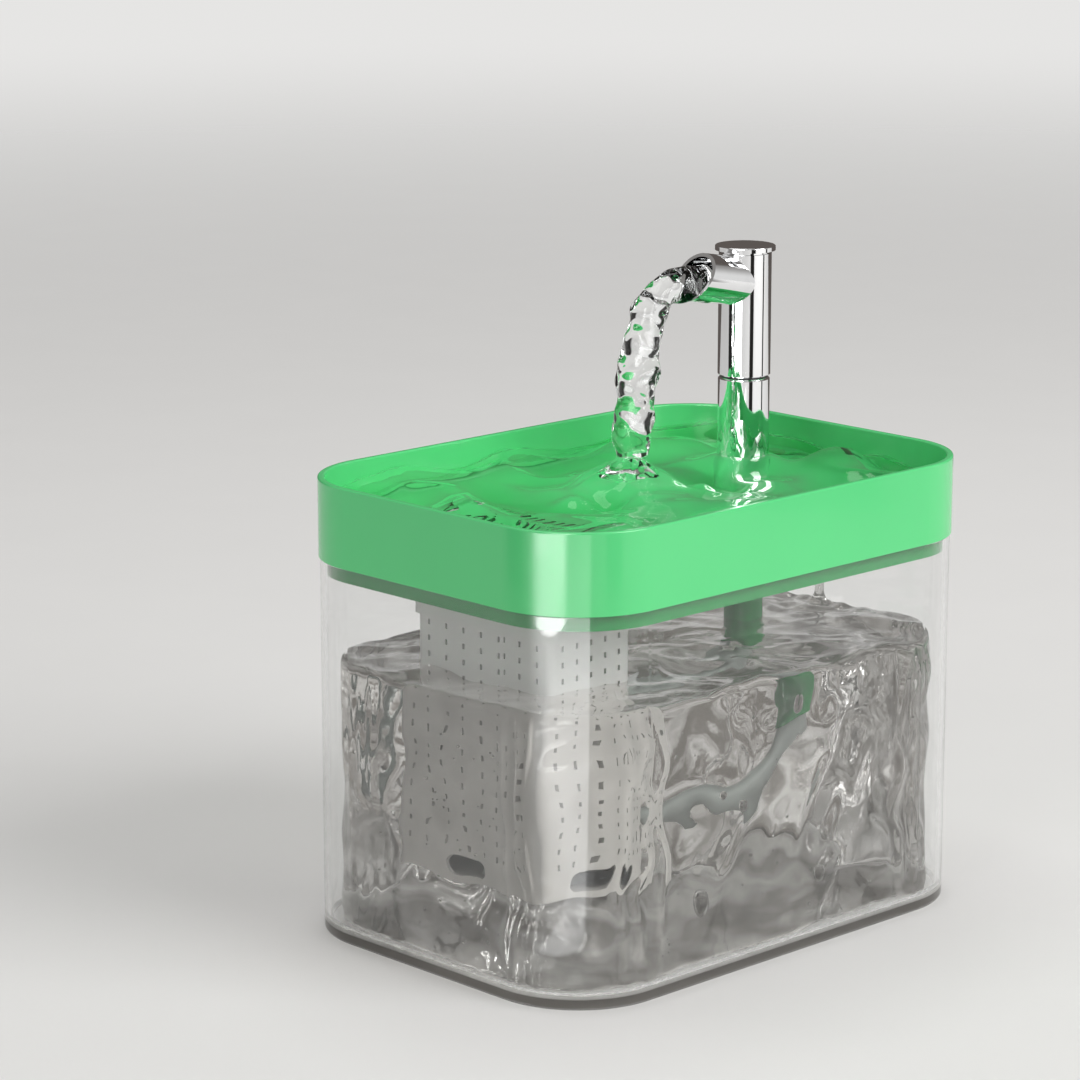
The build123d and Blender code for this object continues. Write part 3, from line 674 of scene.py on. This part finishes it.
def make_tank_water(settings):
    """The tank's water: a block with dimpled sides, ridged corners and a rippled top."""
    inset = settings.wall + settings.gap
    half_x = tank_high.x - inset
    half_y = tank_high.y - inset
    radius = settings.corner - inset
    ring = rounded_ring(half_x, half_y, radius, settings.step)
    low, high, edge = settings.foot, settings.level, settings.edge
    # Where corners meet straight sides
    ends = [Vector((side_x * (half_x - pull_x), side_y * (half_y - pull_y)))
            for side_x in (-1, 1) for side_y in (-1, 1)
            for pull_x, pull_y in ((0, radius), (radius, 0))]

    def ridge(flat, height):
        """Wavering upright ridges beside the ends of the corners."""
        end = min(ends, key=lambda place: (place - flat).length)
        along = end.x * (flat.y - end.y) - end.y * (flat.x - end.x)
        along /= end.length
        total = 0.0
        for offset, width, size, seed in RIDGES:
            sway = 2.4 * MM * waves(Vector((end.x, end.y, height)), size, seed)
            fade = 0.65 + 0.35 * waves(Vector((end.y, end.x, height)), 24, seed)
            total += fade * bell(along - offset * MM - sway, width * MM)
        # Calmer at one end of the short side
        calm = 0.45 if end.x < 0 < end.y else 1.0
        return calm * settings.ridge * total

    def hollow(point, out):
        """How far the hollows near a point reach into the side."""
        side, along = ("long", point.x) if abs(out.y) > abs(out.x) else ("short", point.y)
        total = 0.0
        if min(out.x, out.y) < -FACING:
            for place, height, wide, tall, lean, deep in HOLLOWS[side]:
                up = point.z / MM - height
                across = along / MM - place - lean * up
                total += deep * MM * math.exp(-(across / wide) ** 2 - (up / tall) ** 2)
        return total

    def side(point):
        # Fine waves join in towards the foot
        rough = 1 - eased((point.z - low) / (14 * MM))
        wave = waves(point, 20, 2.0) + 0.22 * waves(point, 9, 4.0)
        wave += 0.2 * rough * waves(point, 5, 6.0)
        return 0.75 * settings.dimple * wave + ridge(point.xy, point.z)

    def top(point):
        wave = settings.swell * waves(point, 30, 3.0)
        wave += settings.crease * (crests(point, 24, 1.0) + 0.5 * crests(point, 11, 5.0))
        # Rings round the foot of the return stream
        to_fall = (point.xy - RETURN_HOLE.xy).length
        wave += 0.9 * MM * math.cos(to_fall / (1.5 * MM)) * bell(to_fall, 14 * MM)
        return 0.6 * wave

    def moved(flat, height, out, top_share, back=0.0):
        """A point moved up as the top by one share, and out as a side by the rest."""
        point = Vector((flat.x, flat.y, height))
        level = Vector((flat.x, flat.y, high))
        push = (side(point) - hollow(point, out)) * (1 - top_share)
        rise = top(level) + settings.bead * bell(back - 1.5 * MM, 2.2 * MM)
        return point + push * out.to_3d() + rise * top_share * UP

    rings = []
    cap_steps = round(half_y / settings.step)
    for i in range(1, cap_steps):
        size = i / cap_steps
        rings.append([Vector((flat.x * size, flat.y * size, low))
                      + 0.25 * MM * waves(flat.to_3d() * size, 26, 8.0) * UP
                      for flat, _ in ring])
    # How far from the edge's foot the sides turn into the top
    blend = 8 * MM
    side_steps = round((high - low - edge) / settings.step)
    for i in range(side_steps + 1):
        height = low + (high - edge - low) * i / side_steps
        top_share = eased((height - high + edge + blend) / (2 * blend))
        rings.append([moved(flat, height, out, top_share) for flat, out in ring])
    edge_steps = 5
    for i in range(1, edge_steps + 1):
        angle = math.pi / 2 * i / edge_steps
        back = edge * (1 - math.cos(angle))
        height = high - edge * (1 - math.sin(angle))
        top_share = 0.5 + 0.5 * i / edge_steps
        rings.append([moved(flat - back * out, height, out, top_share, back)
                      for flat, out in ring])
    shrink = 1 - edge / half_y
    for i in range(1, cap_steps):
        size = shrink * (1 - i / cap_steps)
        rings.append([moved(flat * size, high, out, 1, half_y * (1 - size))
                      for flat, out in ring])
    shape = skin(rings)
    add_bubbles(shape, settings, half_x, half_y)
    return add_piece("tank_water", shape)


# Single waves in the tray: place along and across it, radius and height, in millimetres
SINGLE_WAVES = (
    (62, -28, 12, 5.4),
    (74, -20, 7, 2.0),
    (14, -15, 4.5, 2.8),
    (22, -22, 9, -1.6),
    (-34, -4, 6, 3.4),
    (-24, -10, 5, -2.0),
    (-46, 60, 14, 3.2),
    (-68, 10, 15, 2.6),
    (-20, 52, 16, 2.4),
    (30, 40, 13, 2.6),
    (0, -46, 14, 2.4),
    (-60, -38, 13, 2.2),
)


def tray_surface(flat, settings, foot):
    """Height of the tray's water above its level."""
    to_foot = flat - foot
    far = to_foot.length
    turn = math.atan2(to_foot.y, to_foot.x)
    to_column = (flat - column_axis.xy).length - column_radius
    point = flat.to_3d()
    height = settings.mound * bell(far, 14 * MM)
    height += settings.climb * bell(max(0, to_column), 6 * MM)
    ring = math.cos(far / (2.1 * MM) + 2 * waves(point, 30))
    height += settings.ripple * ring * bell(far, 34 * MM)
    # Nine small folds round the mound
    fold = math.sin(9 * turn + 3 * waves(point, 12))
    height += 0.5 * MM * fold * bell(far - 12 * MM, 6 * MM)
    for x, y, radius, rise in SINGLE_WAVES:
        height += 1.15 * rise * MM * bell((flat - Vector((x, y)) * MM).length, radius * MM)
    # The broad waves die down near the mound and the faucet
    calm = 0.35 + 0.65 * eased((far - 8 * MM) / (18 * MM))
    calm *= 0.3 + 0.7 * eased(to_column / (10 * MM))
    height += 0.6 * calm * settings.swell * waves(point, 27, 3.0)
    height += 0.6 * calm * settings.crease * crests(point, 31, 7.0)
    return height


def make_tray_water(settings, foot):
    """The tray's water, from the basin's floor up to its wavy top."""
    inset = settings.rim + settings.gap
    wavy = settings.level - 6 * MM
    half_x = tray_high.x - inset
    half_y = tray_high.y - inset
    ring = rounded_ring(half_x, half_y, settings.corner - inset, settings.step)
    low = cover_high.z + settings.floor_gap
    narrow = 1 - settings.step_in / half_y

    def level(size, height):
        return [Vector((flat.x * size, flat.y * size, height)) for flat, _ in ring]

    shelf = settings.shelf
    rings = [level(0.5 * narrow, low), level(narrow, low), level(narrow, shelf - MM),
             level(narrow, shelf), level(1, shelf), level(1, shelf + MM), level(1, wavy)]
    cap_steps = round(half_y / settings.step)
    for i in range(cap_steps):
        size = 1 - i / cap_steps
        rings.append([(flat * size).to_3d()
                      + (settings.level + tray_surface(flat * size, settings, foot)) * UP
                      for flat, _ in ring])
    return add_piece("tray_water", skin(rings))


def stream_foot(settings):
    return Vector((column_axis.x - settings.reach, 0))


def stream_line(settings):
    """The middle of the stream, from inside the spout down to the tray's water."""
    mouth = Vector((spout_low.x, 0, (spout_low.z + spout_high.z) / 2))
    tilt = math.radians(10.5)
    along = Vector((-math.cos(tilt), 0, math.sin(tilt)))
    start = mouth - settings.inside * along + Vector((4 * MM, 0, 0))
    foot = stream_foot(settings).to_3d() + settings.foot * UP
    turn = Vector((foot.x + 8.2 * MM, 0, start.z - settings.shoulder / 2))
    slope = Vector((4.5, 0, 9)) * MM
    upper = geometry.interpolate_bezier(start, start + 12 * MM * along, turn + slope, turn, 40)
    fall = turn.z - foot.z
    lower = geometry.interpolate_bezier(turn, turn - slope,
                                        foot + Vector((0.6 * MM, 0, 0.55 * fall)), foot, 80)
    return upper + lower[1:]


def make_stream(settings):
    """The stream: a bent tube of water with twisted ridges and lumps."""
    line = stream_line(settings)
    # Where the tray's rim comes to when the faucet is turned half round
    turned_rim = 2 * column_axis.x - tray_high.x
    spans = [0.0]
    for a, b in zip(line, line[1:]):
        spans.append(spans[-1] + (b - a).length)
    rings = []
    index = 0
    for i in range(settings.rings):
        reach = spans[-1] * i / (settings.rings - 1)
        while index < len(line) - 2 and spans[index + 1] < reach:
            index += 1
        part = (reach - spans[index]) / (spans[index + 1] - spans[index])
        centre = line[index].lerp(line[index + 1], part)
        heading = (line[index + 1] - line[index]).normalized()
        across = Vector((0, 1, 0))
        above = heading.cross(across)
        free = eased(reach / (14 * MM))
        sway = 0.6 * free * MM
        centre = centre + sway * (waves(centre, 11) * above + waves(centre, 9, 4.0) * across)
        bead = math.sin(reach / (1.9 * MM) + 2.5 * waves(centre, 15, 2.0))
        # Slimmer below the mouth and at a neck over the foot, which flares
        left = spans[-1] - reach
        slim = 1 - 0.2 * bell(reach - 20 * MM, 14 * MM)
        slim += 0.35 * bell(left, 4 * MM) - 0.14 * bell(left - 9 * MM, 6 * MM)
        ring = []
        for j in range(settings.sides):
            angle = 2 * math.pi * j / settings.sides
            way = math.cos(angle) * across + math.sin(angle) * above
            spot = centre + settings.radius * way
            turned = angle + 2 * math.pi * settings.twist * reach / spans[-1]
            lump = 0.35 * bead + 0.4 * math.sin(2 * turned) + 0.22 * math.sin(5 * turned)
            lump += 0.8 * waves(spot, 9, 1.0) + 0.16 * waves(spot, 3.6, 8.0)
            lump += 0.2 * crests(spot, 8, 3.0)
            radius = settings.radius * slim * (1 + settings.lump * (0.25 + 0.75 * free) * lump)
            point = centre + radius * way
            if point.z < tray_high.z + settings.clear:
                point.x = min(point.x, turned_rim - settings.clear)
            ring.append(point)
        rings.append(ring)
    return add_piece("stream", skin(rings))


def make_return_stream(level):
    """The thin fall of water from the tray's return hole into the tank."""
    top = tray_low.z - 0.5 * MM
    foot = level - 3 * MM
    radius = 1.6 * MM
    steps, sides = 60, 28
    rings = []
    for i in range(steps + 1):
        height = top + (foot - top) * i / steps
        flare = 1 + 1.4 * eased((level + 4 * MM - height) / (6 * MM))
        centre = RETURN_HOLE + height * UP
        ring = []
        for j in range(sides):
            angle = 2 * math.pi * j / sides
            way = Vector((math.cos(angle), math.sin(angle), 0))
            lump = 0.16 * waves(centre + radius * way, 5)
            ring.append(centre + radius * flare * (1 + lump) * way)
        rings.append(ring)
    return add_piece("return_stream", skin(rings))


# Operators

class FOUNTAIN_OT_dress_tank(Operator):
    """Give the tank its clear plastic and the cable grommet its rubber"""
    bl_idname = "fountain.dress_tank"
    bl_label = "Dress Tank"

    def execute(self, context):
        finish = context.scene.finishes
        dress(["tank"], clear_plastic(finish))
        dress(["cable_grommet", "cable_gland", "plug_seals", "neck_seal", "swivel_ring",
               "shaft_bushes"],
              moulded("black_rubber", finish.rubber, roughness=0.55, grain=0.012, variation=0.2))
        return {"FINISHED"}


class FOUNTAIN_OT_dress_tray(Operator):
    """Give the drinking tray, its riser and the strainer cover their green plastic"""
    bl_idname = "fountain.dress_tray"
    bl_label = "Dress Tray"

    def execute(self, context):
        dress(["tray", "riser_tube", "strainer_cover"], green_plastic(context.scene.finishes))
        return {"FINISHED"}


class FOUNTAIN_OT_dress_filter(Operator):
    """Give the filter box, cassette, cotton and carbon their finishes"""
    bl_idname = "fountain.dress_filter"
    bl_label = "Dress Filter"

    def execute(self, context):
        finish = context.scene.finishes
        dress(["filter_box", "filter_cassette"],
              moulded("white_plastic", finish.white, roughness=0.46, grain=0.014,
                      variation=0.035))
        dress(["filter_cotton"], cotton_fibre(finish))
        dress(["filter_carbon"], carbon_grains(finish))
        return {"FINISHED"}


class FOUNTAIN_OT_dress_pump(Operator):
    """Give the pump's pieces and the hose their finishes"""
    bl_idname = "fountain.dress_pump"
    bl_label = "Dress Pump"

    def execute(self, context):
        finish = context.scene.finishes
        dress(["pump_body", "pump_cover", "pump_nozzle", "flow_slider"],
              moulded("pump_plastic", finish.dark, roughness=0.42, grain=0.02, variation=0.2))
        dress(["impeller"], moulded("impeller_plastic", finish.white, roughness=0.38,
                                    grain=0.01, variation=0.05))
        dress(["rotor_magnet"], sintered_magnet())
        dress(["pump_shaft"], ground_steel())
        dress(["hose", "suction_cups"], soft_silicone(finish))
        return {"FINISHED"}


class FOUNTAIN_OT_dress_faucet(Operator):
    """Plate the faucet's column, head, spout and cap"""
    bl_idname = "fountain.dress_faucet"
    bl_label = "Dress Faucet"

    def execute(self, context):
        dress(["faucet_column", "faucet_head", "faucet_spout", "faucet_cap"],
              chrome_plate(context.scene.finishes))
        return {"FINISHED"}


class FOUNTAIN_OT_fill_tank(Operator):
    """Fill the tank with rippled water"""
    bl_idname = "fountain.fill_tank"
    bl_label = "Fill Tank"

    def execute(self, context):
        # Painted shade: the tank's water takes the darker tint, darker still away from its
        # crests
        tint = context.scene.finishes.tank_shade_tint
        finish_water(make_tank_water(context.scene.tank_water), "tank",
                     water_body("tank_water", tint, deep=scaled(tint, 0.55),
                                crest_mask=sharp_crests, contact=-FACING))
        return {"FINISHED"}


class FOUNTAIN_OT_fill_tray(Operator):
    """Fill the tray with wavy water"""
    bl_idname = "fountain.fill_tray"
    bl_label = "Fill Tray"

    def execute(self, context):
        scene = context.scene
        settings = scene.tray_water
        foot = stream_foot(scene.stream)

        # Painted shade: below its upper waves the tray's water takes the darker tint
        def high_parts(shader):
            return shader.above(settings.level - 2.5 * MM, blend=5.5 * MM)

        finish_water(make_tray_water(settings, foot), "tray_unit",
                     water_body("tray_water", scene.finishes.water,
                                deep=scene.finishes.tray_shade_tint, crest_mask=high_parts,
                                contact=0.4))
        return {"FINISHED"}


class FOUNTAIN_OT_run_water(Operator):
    """Let water run from the spout and through the return hole"""
    bl_idname = "fountain.run_water"
    bl_label = "Run Water"

    def execute(self, context):
        finish = water_body("falling_water", context.scene.finishes.water)
        finish_water(make_stream(context.scene.stream), "faucet_head", finish)
        level = context.scene.tank_water.level
        finish_water(make_return_stream(level), "tray_unit", finish)
        return {"FINISHED"}


# Studio

def aim(made, place, target):
    """Stand a lamp or the camera in its place and turn it to a target."""
    made.location = place
    way = Vector(target) - Vector(place)
    made.rotation_euler = way.to_track_quat("-Z", "Y").to_euler()


def area_lamp(name, place, size, watts):
    data = bpy.data.lights.new(name, "AREA")
    data.shape = "RECTANGLE"
    data.size, data.size_y = size
    data.energy = watts
    lamp = add_object(name, data)
    aim(lamp, place, (0, 0, 0.1))
    lamp.visible_transmission = False


def stage_sheet(name, outline, finish):
    """A flat sheet that belongs to the studio."""
    shape = bmesh.new()
    shape.faces.new([shape.verts.new(corner) for corner in outline])
    sheet = add_mesh(name, shape)
    sheet.data.materials.append(finish)
    return sheet


def polar(degrees, reach, height):
    """A point by its direction and distance from the upright axis."""
    angle = math.radians(degrees)
    return Vector((reach * math.cos(angle), reach * math.sin(angle), height))


def between(low, high, middle=Vector()):
    """Corners of a sheet between two edges, each of two directions, distance and height."""
    (low_left, low_right, *low_at), (high_left, high_right, *high_at) = low, high
    return [middle + polar(low_left, *low_at), middle + polar(low_right, *low_at),
            middle + polar(high_right, *high_at), middle + polar(high_left, *high_at)]


def make_floor(settings):
    """A pale floor that fades out far from the object."""
    shader = material("floor")
    cloudy = shader.cloud(60, detail=4)
    plain = shader.tint(cloudy, scaled(settings.floor, 0.985), scaled(settings.floor, 1.015))
    # Painted shade: where the floor is seen through water, after five faces, or after four under
    # the tank, it is painted with dark blotches that stand in for dark surroundings and bring
    # out the water's hollows
    beside = [abs(shader.part(shader.place(), axis)) * (1 / half)
              for axis, half in zip("XY", tank_high.xy)]
    under = beside[0].greatest(beside[1]) < 1
    bent = shader.ray("Transmission Depth") + under > 4.5
    paper = shader.principled(
        base_color=shader.tint(shader.rise(shader.cloud(46), 0.40, 0.58) * bent, plain,
                               settings.through_water_shade),
        roughness=0.6 + 0.1 * cloudy,
        normal=shader.bump(shader.cloud(1.5, detail=3), 0.02),
        specular_ior_level=0.0,
    )
    far = shader.node("ShaderNodeVectorMath", {"operation": "LENGTH"},
                      {0: shader.place()}, output="Value")
    finish = shader.finish(
        shader.mixed(shader.smooth(far, 0.8, 3.0), paper, shader.see_through()))
    # A hair under the tank's base, so that light that leaves the base still meets the floor
    half, low = 3.2, -0.1 * MM
    stage_sheet("floor", [(-half, -half, low), (half, -half, low), (half, half, low),
                          (-half, half, low)], finish)


def reflected_sheet(name, rgb, strength, outline, through=False):
    """A sheet that shows only in what metal, glass and water reflect, fading at its sides.

    With through, it also shows to light that has gone through glass and water.
    """
    shader = material(name)
    shader.owner.cycles.emission_sampling = "NONE"
    mirrored = shader.ray("Glossy Depth")
    if through:
        mirrored = mirrored + shader.ray("Transmission Depth")
    side = shader.part(shader.node("ShaderNodeUVMap", {"uv_map": "sheet"}), "X")
    fade = shader.ramp(side, (0.0, 0), (0.15, 1), (0.85, 1), (1.0, 0))
    light = shader.node("ShaderNodeEmission", None, {"Color": (*rgb, 1), "Strength": strength})
    finish = shader.finish(shader.mixed(fade * (mirrored > 0.5), shader.see_through(), light))
    sheet = stage_sheet(name, outline, finish)
    uv = sheet.data.uv_layers.new(name="sheet")
    for place, spot in zip(uv.data, ((0, 0), (1, 0), (1, 1), (0, 1))):
        place.uv = spot
    sheet.visible_diffuse = False
    sheet.visible_shadow = False
    return sheet


# Dark cards: direction of the middle and half the angle covered, in degrees, distance and
# height, in metres
CARDS = (
    (259, 10, 0.62, 0.34),
    (159, 11, 0.62, 0.34),
    (314, 4, 0.70, 0.30),
    (16, 12, 0.95, 0.50),
    (76, 12, 0.95, 0.50),
)

# Bright strips over the floor: name, directions of the sides, in degrees, distances of the
# ends from the tank's near corner, in metres, and share of the glow
STRIPS = (
    ("strip", 166, 240, 0.06, 0.8, 0.5),
    ("strip_core", 172, 214, 0.48, 1.2, 1.5),
)


def make_cards(settings):
    """Dark cards, a grey hood and bright panels for metal, glass and water to reflect."""
    for i, (direction, half, reach, top) in enumerate(CARDS):
        sides = direction - half, direction + half, reach
        reflected_sheet(f"card_{i}", settings.card, 1.0, between((*sides, 0), (*sides, top)),
                        through=True)
    hood = reflected_sheet("hood", settings.hood, 1.0,
                           between((-24, 114, 1.7, 0.02), (-14, 104, 1.9, 2.2)))
    hood.visible_transmission = False
    reflected_sheet("window", (1, 1, 1), settings.sparkle,
                    between((194, 222, 1.8, 0.35), (194, 222, 1.7, 1.7)))
    near = Vector((-0.085, -0.055, 0.002))
    for name, left, right, start, end, glow in STRIPS:
        reflected_sheet(name, (1, 1, 1), glow * settings.glow,
                        between((left, right, start, 0), (left, right, end, 0), near))
        near.z += MM


def make_world(settings):
    """A backdrop that is seen or mirrored, and an even fill for matt surfaces."""
    world = bpy.data.worlds.new("studio")
    bpy.context.scene.world = world
    shader = Shader(world, "ShaderNodeOutputWorld")
    seen = shader.ray("Is Camera Ray").greatest(shader.ray("Is Glossy Ray"))
    seen = seen.greatest(shader.ray("Is Transmission Ray"))
    # Light that a matt surface has scattered comes from the fill alone
    seen = seen * (shader.ray("Diffuse Depth") < 0.5)
    direction = shader.node("ShaderNodeTexCoord", output="Generated")
    climb = shader.node("ShaderNodeVectorMath", {"operation": "DOT_PRODUCT"},
                        {0: direction, 1: UP}, output="Value")
    sky = shader.tint(shader.smooth(climb, 0.12, 0.55), settings.backdrop, settings.ceiling)
    backdrop = shader.node("ShaderNodeBackground", None, {"Color": sky, "Strength": 1.0})
    fill = shader.node("ShaderNodeBackground", None,
                       {"Color": (1, 1, 1, 1), "Strength": settings.fill})
    shader.finish(shader.mixed(seen, fill, backdrop))


def make_camera(settings):
    data = bpy.data.cameras.new("camera")
    data.lens = settings.lens
    data.sensor_width = 36
    data.clip_start = 0.01
    camera = add_object("camera", data)
    aim(camera, settings.camera, settings.target)
    bpy.context.scene.camera = camera


# Softboxes: setting that holds the watts, place and size, in metres
SOFTBOXES = (
    ("key", (0.6, -1.9, 1.3), (1.4, 1.4)),
    ("window", (-2.1, -0.6, 1.0), (0.7, 1.7)),
    ("overhead", (0.1, 0.5, 2.2), (1.6, 1.0)),
)


class FOUNTAIN_OT_set_stage(Operator):
    """Lay the floor, set up the lamps and cards and place the camera"""
    bl_idname = "fountain.set_stage"
    bl_label = "Set Stage"

    def execute(self, context):
        settings = context.scene.stage
        make_floor(settings)
        make_cards(settings)
        make_world(settings)
        for name, place, size in SOFTBOXES:
            area_lamp(f"{name}_softbox", place, size, getattr(settings, name))
        make_camera(settings)
        context.scene.view_settings.view_transform = "Standard"
        return {"FINISHED"}


class FOUNTAIN_PT_panel(Panel):
    bl_label = "Fountain"
    bl_idname = "FOUNTAIN_PT_panel"
    bl_space_type = "VIEW_3D"
    bl_region_type = "UI"
    bl_category = "Fountain"

    def draw(self, context):
        for operator in OPERATORS:
            self.layout.operator(operator.bl_idname)


SETTINGS = {
    "finishes": FinishSettings,
    "tank_water": TankWaterSettings,
    "tray_water": TrayWaterSettings,
    "stream": StreamSettings,
    "stage": StageSettings,
}

OPERATORS = (
    FOUNTAIN_OT_dress_tank,
    FOUNTAIN_OT_dress_tray,
    FOUNTAIN_OT_dress_filter,
    FOUNTAIN_OT_dress_pump,
    FOUNTAIN_OT_dress_faucet,
    FOUNTAIN_OT_fill_tank,
    FOUNTAIN_OT_fill_tray,
    FOUNTAIN_OT_run_water,
    FOUNTAIN_OT_set_stage,
)


def register():
    for group in SETTINGS.values():
        bpy.utils.register_class(group)
    for operator in OPERATORS:
        bpy.utils.register_class(operator)
    bpy.utils.register_class(FOUNTAIN_PT_panel)
    for name, group in SETTINGS.items():
        setattr(bpy.types.Scene, name, PointerProperty(type=group))


def unregister():
    for name in SETTINGS:
        delattr(bpy.types.Scene, name)
    bpy.utils.unregister_class(FOUNTAIN_PT_panel)
    for operator in reversed(OPERATORS):
        bpy.utils.unregister_class(operator)
    for group in reversed(SETTINGS.values()):
        bpy.utils.unregister_class(group)


def main():
    register()
    for step in OPERATORS:
        group, name = step.bl_idname.split(".")
        getattr(getattr(bpy.ops, group), name)()


if __name__ == "__main__":
    main()
